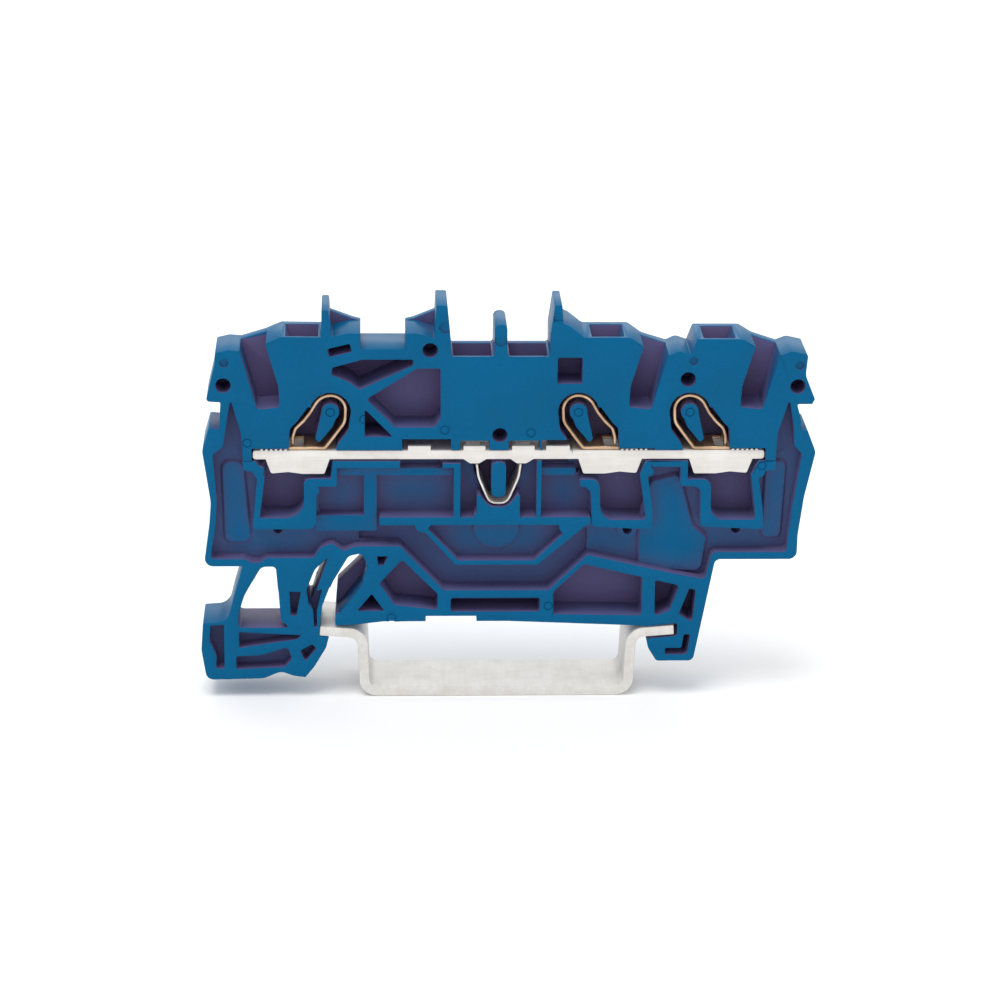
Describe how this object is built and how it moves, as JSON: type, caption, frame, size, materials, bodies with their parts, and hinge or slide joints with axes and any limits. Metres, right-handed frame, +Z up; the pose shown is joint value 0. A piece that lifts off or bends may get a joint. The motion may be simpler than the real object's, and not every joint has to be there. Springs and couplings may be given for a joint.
{
  "type": "rail-mounted terminal block",
  "caption": "Slim one-piece moulding open on one side, with spring clamps, a current bar and a flexible foot that hooks onto a short top-hat rail.",
  "frame": {"origin": "middle of the rail's width on its underside, 2.6 mm behind the open side", "axes": "+X along the block, +Y along the rail away from the open side, +Z up from the rail"},
  "size_m": [0.0597, 0.0068, 0.0404],
  "materials": {
    "moulding": "satin moulded polyamide",
    "tinned_copper": "tin-plated, satin",
    "spring_steel": "bright spring steel with a warm tint",
    "rail_steel": "zinc-plated, satin"
  },
  "bodies": {
    "rail": {"rail_section": "rail_steel"},
    "terminal": {"housing": "moulding", "current_bar": "tinned_copper", "clamp_spring_left": "spring_steel", "clamp_spring_middle": "spring_steel", "clamp_spring_right": "spring_steel", "jumper_spring": "spring_steel"},
    "foot": {"release_foot": "moulding"},
    "tongue_left": {"clamp_tongue_left": "spring_steel"},
    "tongue_middle": {"clamp_tongue_middle": "spring_steel"},
    "tongue_right": {"clamp_tongue_right": "spring_steel"},
    "contact_left": {"jumper_leg_left": "spring_steel"},
    "contact_right": {"jumper_leg_right": "spring_steel"}
  },
  "joints": [
    {"name": "block_slide", "type": "slide", "parent": "rail", "child": "terminal", "axis": [0, 1, 0], "range_m": [0, 0.0016]},
    {"name": "foot_release", "type": "hinge", "parent": "terminal", "child": "foot", "pos_m": [-0.0195, 0, 0.022], "axis": [0, 1, 0], "range_deg": [0, 4.5], "stiffness_Nm_per_rad": 0.5},
    {"name": "tongue_left_press", "type": "hinge", "parent": "terminal", "child": "tongue_left", "pos_m": [-0.0163, -0.0005, 0.0297], "axis": [0, -1, 0], "range_deg": [0, 10], "stiffness_Nm_per_rad": 0.02, "springref_deg": -5.73},
    {"name": "tongue_middle_press", "type": "hinge", "parent": "terminal", "child": "tongue_middle", "pos_m": [0.00755, -0.0005, 0.0297], "axis": [0, 1, 0], "range_deg": [0, 10], "stiffness_Nm_per_rad": 0.02, "springref_deg": -5.73},
    {"name": "tongue_right_press", "type": "hinge", "parent": "terminal", "child": "tongue_right", "pos_m": [0.0183, -0.0005, 0.0297], "axis": [0, 1, 0], "range_deg": [0, 10], "stiffness_Nm_per_rad": 0.02, "springref_deg": -5.73},
    {"name": "contact_left_spread", "type": "hinge", "parent": "terminal", "child": "contact_left", "pos_m": [-0.0013, -0.0005, 0.021], "axis": [0, -1, 0], "range_deg": [0, 4], "stiffness_Nm_per_rad": 0.02},
    {"name": "contact_right_spread", "type": "hinge", "parent": "terminal", "child": "contact_right", "pos_m": [0.0012, -0.0005, 0.021], "axis": [0, 1, 0], "range_deg": [0, 4], "stiffness_Nm_per_rad": 0.02}
  ]
}
